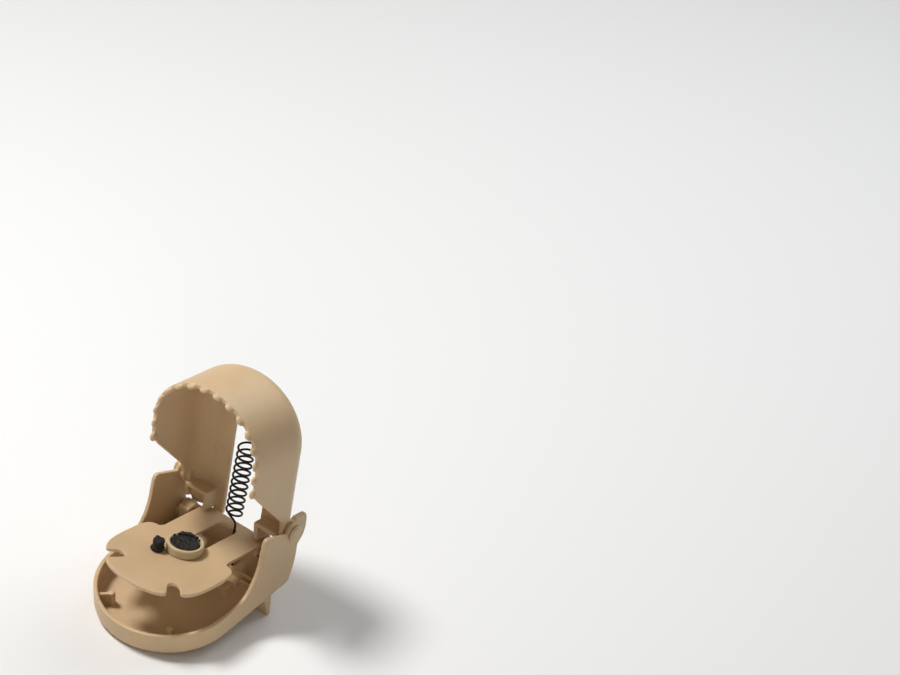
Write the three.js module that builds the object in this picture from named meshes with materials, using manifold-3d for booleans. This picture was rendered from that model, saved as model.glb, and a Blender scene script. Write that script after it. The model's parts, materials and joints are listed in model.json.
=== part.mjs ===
// Moulded snap mouse trap, set (open), millimetres, +Z up.
//
// Everything is drawn in the tray's frame: the origin is the middle of the jaw hinge axis, X runs along
// that axis to the right, Y runs backwards and Z is square to the tray's floor. The jaw, the pedal, the bait
// and the spring's top are drawn in the jaw's own frame (X, depth q, height p), which leans back by JAW_LEAN.
// The whole trap is then tipped forward by STAND_TILT, because it stands on its rear heel blade and on the
// front edge of its bottom, and moved so that the origin is the middle of its footprint box.
import * as THREE from "three";
import { mergeVertices } from "three/addons/utils/BufferGeometryUtils.js";
import Module from "manifold-3d";

// ---------------------------------------------------------------- driving dimensions
const JAW_LEAN = 14.4; // degrees the set jaw leans back from the tray's Z
const STAND_TILT = 8.73; // degrees the standing trap tips forward
const ORIGIN_Y = -22.56; // footprint centre along Y, in the standing frame
const ORIGIN_Z = -30.5006; // the surface it stands on, in the standing frame

const TRAY_HALF = 25.0; // half width of the tray
const TRAY_WALL = 1.5;
const TRAY_ROUND_Y = -34.7; // where the straight sides turn into the round front
const TRAY_ROUND_LEN = 24.3; // depth of the round front
const TRAY_BOTTOM = -22.2;
const TRAY_FLOOR = -20.6;
const TRAY_EDGE_R = 2.6; // rounding of the bottom edge
const RIM_Z = -13.4; // front rim
const BOSS_R = 3.3; // cheek boss round the hinge
const REAR_WALL_TOP = -13.3;

const RIB_TOP = -15.5; // top of the corner ribs
const HEEL_TIP_Z = -29.0;

const JAW_HALF = 22.6;
const JAW_WALL = 1.6;
const JAW_ROUND_P = 30.5; // where the straight sides turn into the crown
const JAW_TOP_P = 51.9;
const JAW_EDGE_R = 8.0; // rounding between the back plate and the walls
const PLATE_Q0 = 5.46; // outer face of the back plate at p = 0
const PLATE_SLOPE = -0.068; // change of that face's q per mm of p
const PLATE_T = 1.8;
const TAIL_P = -12.2; // lower end of the back plate
const SLOT_HALF = 8.0;
const SLOT_TOP_P = 40.5;
const TONGUE_HALF = 2.3;
const TEETH = 16;
const TOOTH_PITCH = 5.45;
const TOOTH_IN = 0.35; // how far a tooth stands inwards of the middle of the wall
const TOOTH_R = 1.75;
const TOOTH_OUT = 0.3; // how far a tooth's centre stands out of the edge

const PIVOT_Y = -4.2; // pedal pivot
const PIVOT_Z = -12.9;
const PEDAL_TOP_P = -10.3;
const PEDAL_T = 1.3;
const CUP_Q = -24.8;
const CUP_R = 6.4;
const CUP_H = 3.2;

const WIRE_R = 0.375;
const COIL_R = 2.8;
const COIL_TURNS = 10.25;
const COIL_LOW_P = -6.4;
const COIL_TOP_P = 21.3;
const COIL_Q = -0.2;
const PEG = [2.5, 24.2]; // upper spring anchor, q and p
const ANCHOR = [-7.4, -18.2]; // lower spring anchor, Y and Z

const GAP = 0.3;

// ---------------------------------------------------------------- solids
const wasm = await Module();
wasm.setup();
const { Manifold, Mesh } = wasm;
const rad = THREE.MathUtils.degToRad;

function solid(geometry) {
  let g = geometry.index ? geometry.toNonIndexed() : geometry.clone();
  g.deleteAttribute("normal");
  g.deleteAttribute("uv");
  g = mergeVertices(g, 1e-4);
  return new Manifold(
    new Mesh({
      numProp: 3,
      vertProperties: g.attributes.position.array,
      triVerts: new Uint32Array(g.index.array),
    }),
  );
}

function geometryOf(made) {
  const m = made.getMesh();
  const g = new THREE.BufferGeometry();
  g.setAttribute("position", new THREE.BufferAttribute(new Float32Array(m.vertProperties), 3));
  g.setIndex(new THREE.BufferAttribute(new Uint32Array(m.triVerts), 1));
  g.computeVertexNormals();
  return g;
}

const shapeOf = (points) => new THREE.Shape(points.map(([a, b]) => new THREE.Vector2(a, b)));

// Outline (a, b) pushed along the third direction, with an optional rounding r at both ends.
function prism(points, length, r = 0, segments = 3) {
  return new THREE.ExtrudeGeometry(shapeOf(points), {
    depth: length - 2 * r,
    steps: 1,
    curveSegments: 1,
    bevelEnabled: r > 0,
    bevelThickness: r,
    bevelSize: r,
    bevelOffset: -r,
    bevelSegments: segments,
  }).translate(0, 0, r);
}
// (y, z) outline from x0 to x1
const CYCLE = new THREE.Matrix4().set(0, 0, 1, 0, 1, 0, 0, 0, 0, 1, 0, 0, 0, 0, 0, 1);
const prismX = (points, x0, x1) => solid(prism(points, x1 - x0).applyMatrix4(CYCLE).translate(x0, 0, 0));
// (x, y) outline from z0 to z1
const prismZ = (points, z0, z1, r = 0, s = 3) => solid(prism(points, z1 - z0, r, s).translate(0, 0, z0));
// (x, z) outline from y0 to y1, pushed towards -Y
const prismY = (points, y0, y1, r = 0, s = 3) =>
  solid(prism(points, y1 - y0, r, s).rotateX(Math.PI / 2).translate(0, y1, 0));
const box = (x0, x1, y0, y1, z0, z1) =>
  solid(new THREE.BoxGeometry(x1 - x0, y1 - y0, z1 - z0).translate((x0 + x1) / 2, (y0 + y1) / 2, (z0 + z1) / 2));
const rodX = (r, x0, x1, y, z, sides = 24) =>
  solid(new THREE.CylinderGeometry(r, r, x1 - x0, sides).rotateZ(Math.PI / 2).translate((x0 + x1) / 2, y, z));
const rodZ = (r, z0, z1, x, y, sides = 24) =>
  solid(new THREE.CylinderGeometry(r, r, z1 - z0, sides).rotateX(Math.PI / 2).translate(x, y, (z0 + z1) / 2));
const union = (...list) => list.reduce((a, b) => a.add(b));
const mirrored = (points) => points.concat(points.slice().reverse().map(([a, b]) => [-a, b]));

// U-shaped outline: straight sides of half width w from a0 to a1, then half an ellipse of depth d beyond a1.
// dir +1 rounds towards +b, -1 towards -b.
function uOutline(w, a0, a1, d, dir, n = 22) {
  const pts = [[w, a0]];
  for (let i = 0; i <= n; i++) {
    const t = (Math.PI * i) / n;
    pts.push([w * Math.cos(t), a1 + dir * d * Math.sin(t)]);
  }
  pts.push([-w, a0]);
  return dir > 0 ? pts : pts.reverse();
}

// ---------------------------------------------------------------- base tray
function baseTray() {
  const outer = prismZ(uOutline(TRAY_HALF, 14, TRAY_ROUND_Y, TRAY_ROUND_LEN, -1), TRAY_BOTTOM, 20, TRAY_EDGE_R);
  // side outline: low rim in front, cheek rising to the hinge, sloping rear
  const side = prismX(
    [
      [-70, -30], [-8.2, -30], [-8.2, -22.3], [-5.4, -22.0], [-3.0, -21.2], [-1.5, -18.6], [0, -15], [1.2, -11.2],
      [1.9, -7.4], [3.2, -3.0], [3.2, 0], [0, 1.0], [-3.5, 1.4], [-12.4, 6.1], [-13.2, 6.3], [-14.0, 6.1], [-14.5, 5.5],
      [-15.1, 4.2], [-15.8, 1.5], [-16.8, -2.4], [-18.7, -6.5], [-21.25, -9.8], [-23.8, -12.1], [-27.3, -13.15],
      [-30, RIM_Z], [-70, RIM_Z],
    ],
    -30,
    30,
  );
  let tray = outer.intersect(side);
  for (const s of [-1, 1])
    tray = tray.add(rodX(BOSS_R, s > 0 ? TRAY_HALF - TRAY_WALL : -TRAY_HALF, s > 0 ? TRAY_HALF : -TRAY_HALF + TRAY_WALL, 0, 0, 32));
  // hollow
  const inner = prismZ(
    uOutline(TRAY_HALF - TRAY_WALL, 30, TRAY_ROUND_Y, TRAY_ROUND_LEN - TRAY_WALL + 0.1, -1),
    TRAY_FLOOR,
    40,
    1.2,
    2,
  );
  const rear = prismX(
    [
      [-70, -40], [-7.4, -40], [-7.4, -20.5], [-4.6, -19.9], [-3.0, -18.0], [-1.6, -14.6], [-1.0, REAR_WALL_TOP],
      [30, REAR_WALL_TOP], [30, 50], [-70, 50],
    ],
    -30,
    30,
  );
  tray = tray.subtract(inner.intersect(rear));
  // heel blade; its foot is cut parallel to the surface the trap stands on
  const k = Math.tan(rad(STAND_TILT));
  tray = tray.add(
    prismX([[-14.4, -21.4], [-13.3, HEEL_TIP_Z + 1.2 * k], [-12.1, HEEL_TIP_Z], [-11.2, -21.4]], -TRAY_HALF, TRAY_HALF),
  );
  // gusset ribs in the two front corners, under the pedal's slots
  for (const s of [-1, 1]) {
    const g = new THREE.BoxGeometry(1.3, 5.8, RIB_TOP - TRAY_FLOOR + 0.4);
    g.translate(0, -2.9, (RIB_TOP + TRAY_FLOOR - 0.4) / 2);
    g.rotateZ(s * rad(45)).translate(s * 12.8, -48.3, 0);
    const nub = rodZ(1.2, TRAY_FLOOR - 0.4, RIB_TOP, s * 12.8, -48.3, 16);
    tray = union(tray, solid(g), nub);
  }
  // floor ribs and the centre fin
  tray = union(
    tray,
    box(-TRAY_HALF + 0.6, -6.5, -12.6, -11.4, TRAY_FLOOR - 0.4, -17.4),
    box(6.9, TRAY_HALF - 0.6, -12.6, -11.4, TRAY_FLOOR - 0.4, -17.4),
    box(-3.4, -2.2, -17.6, -14.6, TRAY_FLOOR - 0.4, -9.6),
  );
  for (const s of [-1, 1])
    tray = union(
      tray,
      box(s > 0 ? 13.7 : -TRAY_HALF + 0.6, s > 0 ? TRAY_HALF - 0.6 : -13.7, -15.0, -13.9, TRAY_FLOOR - 0.4, -17.6),
      box(s > 0 ? 10.7 : -13.2, s > 0 ? 13.2 : -10.7, -21.6, -17.2, TRAY_FLOOR - 0.4, -17.8),
    );
  // bearing blocks for the pedal's pins
  for (const s of [-1, 1]) {
    const x0 = s > 0 ? 16.2 : -20.6;
    tray = tray.add(
      prismX(
        [[-6.6, TRAY_FLOOR - 0.4], [-1.6, TRAY_FLOOR - 0.4], [-1.2, -15.0], [-1.2, -10.7], [-1.6, -10.2], [-6.0, -10.2], [-6.6, -10.8]],
        x0,
        x0 + 4.4,
      ),
    );
    // web that ties the block to the side wall
    tray = tray.add(box(s > 0 ? 20.3 : -24.4, s > 0 ? 24.4 : -20.3, -4.4, -3.0, TRAY_FLOOR - 0.4, -15.6));
  }
  // lugs of the lower spring anchor
  for (const x of [-1.0, 3.7])
    tray = union(tray, rodX(1.9, x, x + 1.3, ANCHOR[0], ANCHOR[1], 20), box(x, x + 1.3, ANCHOR[0] - 1.9, ANCHOR[0] + 1.9, TRAY_FLOOR - 0.4, ANCHOR[1]));
  // bores
  tray = tray.subtract(rodX(1.8 + GAP, -30, 30, 0, 0, 24));
  tray = tray.subtract(rodX(0.8 + GAP, -1.2, 5.2, ANCHOR[0], ANCHOR[1], 16));
  tray = tray.subtract(rodX(1.1 + GAP, 15, 19.0, PIVOT_Y, PIVOT_Z, 16));
  tray = tray.subtract(rodX(1.1 + GAP, -19.0, -15, PIVOT_Y, PIVOT_Z, 16));
  return tray;
}

// ---------------------------------------------------------------- jaw shell (x, q, p)
const plateQ = (p) => PLATE_Q0 + PLATE_SLOPE * p;
// moves an upright solid so that its flat back, at q = 0, follows the sloping plate
const SHEAR = new THREE.Matrix4().set(1, 0, 0, 0, 0, 1, PLATE_SLOPE, PLATE_Q0, 0, 0, 1, 0, 0, 0, 0, 1);

function tub(inset, back, r, segments) {
  const outline = uOutline(JAW_HALF - inset, -40, JAW_ROUND_P, JAW_TOP_P - JAW_ROUND_P - inset, 1);
  const g = prism(outline, 60, r, segments).rotateX(Math.PI / 2).translate(0, -back, 0).applyMatrix4(SHEAR);
  return solid(g);
}

// front edge of the walls, q at a given p
const frontQ = (p) => -23.3 - ((p - 22.2) / (JAW_TOP_P - 22.2)) * 2.9;

function jawShell() {
  const shell = tub(0, 0, JAW_EDGE_R, 4).subtract(tub(JAW_WALL, PLATE_T, JAW_EDGE_R - JAW_WALL, 4));
  const keep = prismX(
    [
      [frontQ(70), 70], [frontQ(23.2), 23.2], [-23.9, 22.4], [-23.2, 21.6], [-19.7, 17.9], [-6.9, 6.6], [-4.4, 4.4], [-3.4, 1.5],
      [-3.3, 0.4], [-1.8, -2.9], [-0.3, -5.0], [1.9, -8.6], [3.0, -10.6], [3.3, TAIL_P], [20, TAIL_P], [20, 70],
    ],
    -30,
    30,
  );
  let jaw = shell.intersect(keep);
  // notches in the tail, outside the brackets
  for (const x of [-14.6, 12.1]) jaw = jaw.subtract(box(x, x + 2.5, -3, 20, TAIL_P - 1, -8.3));
  // hinge bosses, brackets and set-lever ears
  for (const s of [-1, 1]) {
    const span = (a, b) => (s > 0 ? [a, b] : [-b, -a]);
    const [b0, b1] = span(JAW_HALF - JAW_WALL, JAW_HALF);
    jaw = jaw.add(rodX(3.4, b0, b1, 0, 0, 28));
    const [p0, p1] = span(10.4, 20.0);
    jaw = jaw.add(prismX([[-2.9, -3.6], [4.9, -3.6], [4.9, -2.2], [-2.9, -2.2]], p0, p1));
    const [f0, f1] = span(10.5, 12.1);
    jaw = jaw.add(prismX([[-2.9, -3.4], [-1.7, -9.2], [-1.4, -9.5], [4.9, -9.5], [4.9, -2.4], [-2.9, -2.4]], f0, f1));
    const [e0, e1] = span(19.9, 21.7);
    jaw = jaw.add(
      prismX(
        [
          [-1.2, -3.4], [-0.9, -8.6], [2.4, -9.6], [3.6, -11.0], [4.6, -11.6], [6.6, -11.4], [8.6, -10.0], [10.6, -7.4], [11.3, -5.7], [11.57, -3.5],
          [11.34, -1.2], [10.95, 0.7], [10.3, 2.0], [9.6, 2.3], [4.9, 2.2], [4.6, 1.7], [2.9, 1.5], [1.0, 1.3], [-1.2, 0.6],
        ],
        e0,
        e1,
      ),
    );
  }
  // slot in the back plate, round at the top
  const slot = [[SLOT_HALF, -30], [SLOT_HALF, SLOT_TOP_P - SLOT_HALF]];
  for (let i = 1; i <= 12; i++) {
    const t = (Math.PI * i) / 12;
    slot.push([SLOT_HALF * Math.cos(t), SLOT_TOP_P - SLOT_HALF + SLOT_HALF * Math.sin(t)]);
  }
  slot.push([-SLOT_HALF, -30]);
  jaw = jaw.subtract(prismY(slot, -3.5, 20));
  // centre tongue with a forked end for the spring's peg
  const tongueTop = SLOT_TOP_P + 1.5;
  jaw = jaw.add(
    prismX(
      [
        [plateQ(tongueTop) - PLATE_T, tongueTop], [plateQ(27.4) - 2.4, 27.4], [0.7, 26.0], [0.7, 22.9], [1.1, 22.5],
        [plateQ(22.5) + 0.1, 22.5], [4.3, 22.9], [4.3, 26.0], [plateQ(27.4), 27.4], [plateQ(tongueTop), tongueTop],
      ],
      -TONGUE_HALF,
      TONGUE_HALF,
    ),
  );
  jaw = jaw.subtract(box(-0.95, 0.95, -1, 8, 21, 26.6));
  jaw = jaw.subtract(rodX(0.65 + GAP, -4, 4, PEG[0], PEG[1], 14));
  jaw = jaw.subtract(rodX(1.8 + GAP, -30, 30, 0, 0, 24));
  // teeth along the walls' front edge
  const mid = JAW_WALL / 2 + TOOTH_IN;
  const path = [];
  const w = JAW_HALF - mid, d = JAW_TOP_P - JAW_ROUND_P - mid;
  for (let i = 0; i <= 400; i++) {
    const t = (Math.PI / 2) * (i / 400);
    path.push([w * Math.sin(t), JAW_ROUND_P + d * Math.cos(t)]);
  }
  path.push([w, 20]);
  const at = (s) => {
    let run = 0;
    for (let i = 1; i < path.length; i++) {
      const [x0, p0] = path[i - 1], [x1, p1] = path[i];
      const l = Math.hypot(x1 - x0, p1 - p0);
      if (run + l >= s) {
        const k = (s - run) / l;
        return { x: x0 + (x1 - x0) * k, p: p0 + (p1 - p0) * k, tx: (x1 - x0) / l, tp: (p1 - p0) / l };
      }
      run += l;
    }
    return null;
  };
  for (let i = 0; i < TEETH; i++) {
    const n = i - (TEETH - 1) / 2;
    const a = at(Math.abs(n) * TOOTH_PITCH);
    if (!a) continue;
    const side = n < 0 ? -1 : 1;
    const g = new THREE.SphereGeometry(1, 10, 7);
    g.rotateX(Math.PI / 2);
    g.scale(TOOTH_R, 1.4, 0.95); // x along the edge, y out of the edge, z through the wall
    const m = new THREE.Matrix4().makeBasis(
      new THREE.Vector3(side * a.tx, 0, a.tp),
      new THREE.Vector3(0, side, 0),
      new THREE.Vector3(side * -a.tp * side, 0, a.tx * side),
    );
    if (m.determinant() < 0) m.scale(new THREE.Vector3(1, 1, -1));
    g.applyMatrix4(m).translate(side * a.x, frontQ(a.p) - TOOTH_OUT + 0.15, a.p);
    jaw = jaw.add(solid(g));
  }
  return jaw;
}

// ---------------------------------------------------------------- pedal (x, q, p)
function pedal() {
  const half = [
    [0, -52.9], [3.6, -52.8], [7.2, -52.1], [10.0, -51.1], [11.8, -50.0], [12.5, -49.2], [12.7, -48.3], [9.9, -44.2],
    [9.9, -43.2], [10.7, -42.3], [12.0, -42.0], [13.4, -42.4], [16.0, -44.7], [17.0, -44.4], [18.2, -42.9], [19.1, -40.6],
    [19.7, -37.0], [19.8, -32.0], [19.7, -27.4], [19.3, -24.2], [18.4, -21.8], [16.6, -20.5], [15.2, -20.3], [14.4, -19.6],
    [14.15, -18.6], [14.15, 2.7], [13.8, 3.0],
  ];
  const outline = half.concat(half.slice(1).reverse().map(([x, q]) => [-x, q]));
  let plate = prismZ(outline, PEDAL_TOP_P - PEDAL_T, PEDAL_TOP_P);
  const window = [[3.9, -18.2], [3.9, -3.4], [3.4, -1.9], [2.2, -0.8], [-2.2, -0.8], [-3.4, -1.9], [-3.9, -3.4], [-3.9, -18.2]];
  plate = plate.subtract(prismZ(window, -20, 0));
  // pivot ears under the arms
  const y = rad(JAW_LEAN);
  const pq = PIVOT_Y * Math.cos(y) - PIVOT_Z * Math.sin(y);
  const pp = PIVOT_Y * Math.sin(y) + PIVOT_Z * Math.cos(y);
  for (const s of [-1, 1]) {
    const x0 = s > 0 ? 12.5 : -14.1;
    plate = union(
      plate,
      rodX(2.1, x0, x0 + 1.6, pq, pp, 20),
      box(x0, x0 + 1.6, pq - 2.1, pq + 2.1, pp, PEDAL_TOP_P - 0.4),
    );
    plate = plate.subtract(box(x0 - 0.2, x0 + 1.8, pq - 3, pq + 3, PEDAL_TOP_P - 0.0, PEDAL_TOP_P + 2));
  }
  plate = plate.subtract(rodX(1.1 + GAP, -15, 15, pq, pp, 16));
  return plate;
}

// ---------------------------------------------------------------- spring (x, q, p)
function toJaw(y, z) {
  const a = rad(JAW_LEAN);
  return [y * Math.cos(a) - z * Math.sin(a), y * Math.sin(a) + z * Math.cos(a)];
}

function springPath() {
  const pts = [];
  const add = (x, q, p) => pts.push(new THREE.Vector3(x, q, p));
  const world = (x, y, z) => add(x, ...toJaw(y, z));
  // tail and lower hook, in the tray's frame
  const r = 0.8 + GAP + WIRE_R + 0.05;
  world(6.2, -10.35, -17.2);
  world(5.2, -10.35, -17.8);
  world(4.0, -10.3, -18.5);
  world(3.0, -10.0, -19.2);
  world(2.45, -9.1, -19.62);
  for (let i = 0; i <= 4; i++) {
    const t = rad(-105 + (105 * i) / 4);
    world(2.3, ANCHOR[0] + r * Math.cos(t), ANCHOR[1] + r * Math.sin(t));
  }
  world(2.3, -5.6, -15.6);
  // straight wire up to the bend under the coil
  add(2.3, -1.4, -11.4);
  add(2.3, -1.4, -9.2);
  add(2.15, -1.4, -8.0);
  add(1.2, -1.2, -7.3);
  // coil
  const n = Math.round(COIL_TURNS * 12);
  for (let i = 0; i <= n; i++) {
    const a = 2 * Math.PI * (COIL_TURNS * (i / n) - COIL_TURNS);
    const grow = Math.min(1, 0.8 + i / 15);
    const k = i / n;
    add(
      COIL_R * grow * Math.sin(a),
      COIL_Q + COIL_R * grow * Math.cos(a),
      COIL_LOW_P + (COIL_TOP_P - COIL_LOW_P) * k,
    );
  }
  // upper hook round the peg
  const h = 0.65 + GAP + WIRE_R + 0.02;
  add(0.75, 2.2, 21.75);
  add(0.55, 1.4, 22.4);
  add(0.1, PEG[0] - h, PEG[1] - 0.7);
  for (let i = 0; i <= 5; i++) {
    const t = rad(180 - (205 * i) / 5);
    add(0, PEG[0] + h * Math.cos(t), PEG[1] + h * Math.sin(t));
  }
  return pts;
}

function wire(points, sides = 6, steps = null) {
  const curve = new THREE.CatmullRomCurve3(points, false, "centripetal");
  const ring = [];
  for (let i = 0; i < sides; i++) {
    const t = (2 * Math.PI * i) / sides;
    ring.push([WIRE_R * Math.cos(t), WIRE_R * Math.sin(t)]);
  }
  return solid(
    new THREE.ExtrudeGeometry(shapeOf(ring), {
      steps: steps ?? points.length + 12,
      extrudePath: curve,
      bevelEnabled: false,
      curveSegments: 1,
    }),
  );
}

// ---------------------------------------------------------------- small turned pieces
const lathe = (profile, sides) => solid(new THREE.LatheGeometry(profile.map(([r, z]) => new THREE.Vector2(r, z)), sides));

// hinge pin along +X: shaft, then a low domed head outside the cheek
function hingePin() {
  const x0 = JAW_HALF - JAW_WALL, x1 = TRAY_HALF + GAP;
  return lathe(
    [
      [0, x0], [1.5, x0], [1.8, x0 + 0.3], [1.8, x1], [2.9, x1], [2.9, x1 + 0.55], [2.55, x1 + 0.9], [1.4, x1 + 1.05], [0, x1 + 1.1],
    ],
    24,
  );
}

const material = (name, color, roughness, metalness) =>
  new THREE.MeshStandardMaterial({ name, color: new THREE.Color(color), roughness, metalness });
const tan = () => material("tan_plastic", 0xc8b08c, 0.5, 0);
const cream = () => material("cream_plastic", 0xc3b18c, 0.5, 0);
const dark = () => material("dark_wire", 0x2a2927, 0.35, 0.9);
const black = () => material("black_bait", 0x151312, 0.6, 0);
const pinMat = () => material("pin_plastic", 0xbfa681, 0.45, 0);

function mesh(name, made, mat) {
  const m = new THREE.Mesh(geometryOf(made), mat);
  m.name = name;
  return m;
}

// ---------------------------------------------------------------- the trap
const trap = new THREE.Group();
trap.name = "snap_mouse_trap";
const standing = new THREE.Group();
standing.rotation.x = rad(STAND_TILT);
standing.position.set(0, -ORIGIN_Y, -ORIGIN_Z);
trap.add(standing);
const leaning = new THREE.Group();
leaning.rotation.x = -rad(JAW_LEAN);
standing.add(leaning);

standing.add(mesh("base_tray", baseTray(), tan()));
leaning.add(mesh("jaw_shell", jawShell(), tan()));
leaning.add(mesh("trigger_plate", pedal(), tan()));

const cup = lathe(
  [[0, 0], [5.9, 0], [6.3, 0.25], [CUP_R, CUP_H - 0.4], [CUP_R - 0.3, CUP_H], [CUP_R - 1.0, CUP_H], [CUP_R - 1.25, CUP_H - 0.3], [CUP_R - 1.3, 0.8], [0, 0.8]],
  32,
);
const cupMesh = mesh("bait_cup", cup, cream());
cupMesh.rotation.x = Math.PI / 2;
cupMesh.position.set(0, CUP_Q, PEDAL_TOP_P + 0.05);
leaning.add(cupMesh);

const fill = lathe([[0, 1.1], [4.6, 1.1], [4.75, 1.4], [4.7, 2.3], [3.9, 2.75], [2.2, 2.6], [0, 2.8]], 24);
const fillMesh = mesh("bait_fill", fill, black());
fillMesh.rotation.x = Math.PI / 2;
fillMesh.position.set(0, CUP_Q, PEDAL_TOP_P + 0.05);
leaning.add(fillMesh);

const lump = lathe([[0, 0], [2.0, 0], [2.15, 0.4], [2.15, 1.6], [1.95, 1.9], [2.1, 2.2], [2.15, 4.0], [1.8, 4.6], [0, 4.8]], 18);
const lumpMesh = mesh("bait_lump", lump, black());
lumpMesh.rotation.x = Math.PI / 2;
lumpMesh.position.set(-5.4, -32.2, PEDAL_TOP_P + 0.05);
leaning.add(lumpMesh);

leaning.add(mesh("tension_spring", wire(springPath()), dark()));
leaning.add(mesh("jaw_spring_peg", rodX(0.65, -2.2, 2.2, PEG[0], PEG[1], 12), dark()));
standing.add(mesh("spring_anchor_pin", rodX(0.8, -0.9, 4.9, ANCHOR[0], ANCHOR[1], 14), dark()));

for (const [side, s] of [["left", -1], ["right", 1]]) {
  const pin = mesh("hinge_pin_" + side, hingePin(), pinMat());
  pin.rotation.z = (-s * Math.PI) / 2;
  leaning.add(pin);
  const tp = mesh(
    "trigger_pin_" + side,
    s > 0 ? rodX(1.1, 12.6, 18.6, PIVOT_Y, PIVOT_Z, 16) : rodX(1.1, -18.6, -12.6, PIVOT_Y, PIVOT_Z, 16),
    pinMat(),
  );
  standing.add(tp);
}

export default trap;
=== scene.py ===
import json
import math

import bmesh
import bpy
import numpy as np
from mathutils import Matrix, Vector, noise


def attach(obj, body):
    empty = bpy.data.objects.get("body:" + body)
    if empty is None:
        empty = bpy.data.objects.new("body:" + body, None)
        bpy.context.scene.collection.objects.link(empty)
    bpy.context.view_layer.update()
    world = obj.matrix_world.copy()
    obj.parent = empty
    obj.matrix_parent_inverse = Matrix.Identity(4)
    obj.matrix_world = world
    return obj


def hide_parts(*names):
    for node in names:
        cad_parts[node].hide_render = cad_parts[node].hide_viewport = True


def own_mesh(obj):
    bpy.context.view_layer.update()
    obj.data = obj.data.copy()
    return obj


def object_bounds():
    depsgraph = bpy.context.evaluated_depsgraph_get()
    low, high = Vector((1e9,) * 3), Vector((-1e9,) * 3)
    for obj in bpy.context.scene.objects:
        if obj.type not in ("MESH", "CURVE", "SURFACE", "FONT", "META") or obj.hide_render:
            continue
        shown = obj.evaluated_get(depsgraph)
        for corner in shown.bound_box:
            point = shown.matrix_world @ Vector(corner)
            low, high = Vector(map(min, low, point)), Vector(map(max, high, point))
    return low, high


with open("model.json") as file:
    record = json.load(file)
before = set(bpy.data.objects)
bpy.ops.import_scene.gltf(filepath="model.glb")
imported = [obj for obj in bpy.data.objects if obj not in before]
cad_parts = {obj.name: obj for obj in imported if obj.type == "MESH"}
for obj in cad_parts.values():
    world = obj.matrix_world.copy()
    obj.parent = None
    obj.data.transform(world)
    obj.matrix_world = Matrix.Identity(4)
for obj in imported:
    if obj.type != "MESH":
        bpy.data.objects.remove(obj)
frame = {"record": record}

CAD_LO, CAD_HI = [list(v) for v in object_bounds()]

# ------------------------------------------------------------------ frames
# Shapes are drawn in millimetres, in the tray's frame (X, Y, Z from the hinge axis) or in the jaw's frame
# (x, q, p), and placed by these two matrices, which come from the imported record's hinge position.
JOINTS = {j["name"]: j for j in frame["record"]["behaviour"]["joints"]}
HINGE = Vector(JOINTS["jaw_swing"]["pos_m"])
JAW_LEAN = 14.4
STAND_TILT = 8.73
MM = Matrix.Scale(0.001, 4)
M_TRAY = Matrix.Translation(HINGE) @ Matrix.Rotation(math.radians(STAND_TILT), 4, "X") @ MM
M_JAW = M_TRAY @ Matrix.Rotation(math.radians(-JAW_LEAN), 4, "X")

TRAY_HALF, TRAY_WALL = 25.0, 1.5
TRAY_ROUND_Y, TRAY_ROUND_LEN = -34.7, 24.3
TRAY_BOTTOM, TRAY_FLOOR, TRAY_EDGE_R = -22.2, -20.6, 2.6
RIM_Z, BOSS_R, REAR_WALL_TOP, RIB_TOP, HEEL_TIP_Z = -13.4, 3.3, -13.3, -15.5, -29.0
JAW_HALF, JAW_WALL, JAW_ROUND_P, JAW_TOP_P, JAW_EDGE_R = 22.6, 1.6, 30.5, 51.9, 8.0
PLATE_Q0, PLATE_SLOPE, PLATE_T, TAIL_P = 5.46, -0.068, 1.8, -12.2
SLOT_HALF, SLOT_TOP_P, TONGUE_HALF = 8.0, 40.5, 2.3
TEETH, TOOTH_PITCH, TOOTH_R, TOOTH_IN, TOOTH_OUT = 16, 5.45, 1.75, 0.35, 0.3
PIVOT_Y, PIVOT_Z = -4.2, -12.9
PEDAL_TOP_P, PEDAL_T = -10.3, 1.3
CUP_Q, CUP_R, CUP_H = -24.8, 6.4, 3.2
WIRE_R, COIL_R, COIL_TURNS, COIL_LOW_P, COIL_TOP_P, COIL_Q = 0.375, 2.8, 10.25, -6.4, 21.3, -0.2
PEG, ANCHOR = (2.5, 24.2), (-7.4, -18.2)
GAP = 0.3

SCRATCH = bpy.context.scene.collection


# ------------------------------------------------------------------ mesh tools
def make(verts, faces, name="piece"):
    me = bpy.data.meshes.new(name)
    me.from_pydata([tuple(v) for v in verts], [], [tuple(f) for f in faces])
    bm = bmesh.new()
    bm.from_mesh(me)
    bmesh.ops.remove_doubles(bm, verts=bm.verts, dist=1e-5)
    bmesh.ops.recalc_face_normals(bm, faces=bm.faces)
    bm.to_mesh(me)
    bm.free()
    o = bpy.data.objects.new(name, me)
    SCRATCH.objects.link(o)
    return o


def loft(rings, name="loft"):
    """Closed solid through rings of the same number of points, flat caps at both ends."""
    n = len(rings[0])
    verts = [p for r in rings for p in r]
    faces = []
    for k in range(len(rings) - 1):
        for i in range(n):
            j = (i + 1) % n
            faces.append((k * n + i, k * n + j, (k + 1) * n + j, (k + 1) * n + i))
    faces.append(tuple(range(n - 1, -1, -1)))
    faces.append(tuple(range((len(rings) - 1) * n, len(rings) * n)))
    return make(verts, faces, name)


def prism_x(points, x0, x1):
    return loft([[(x, a, b) for a, b in points] for x in (x0, x1)])


def prism_y(points, y0, y1):
    return loft([[(a, y, b) for a, b in points] for y in (y0, y1)])


def prism_z(points, z0, z1):
    return loft([[(a, b, z) for a, b in points] for z in (z0, z1)])


def box(x0, x1, y0, y1, z0, z1):
    return prism_z([(x0, y0), (x1, y0), (x1, y1), (x0, y1)], z0, z1)


def circle(r, cx, cy, n=48):
    return [(cx + r * math.cos(2 * math.pi * i / n), cy + r * math.sin(2 * math.pi * i / n)) for i in range(n)]


def rod_x(r, x0, x1, y, z, n=48):
    return prism_x(circle(r, y, z, n), x0, x1)


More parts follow.
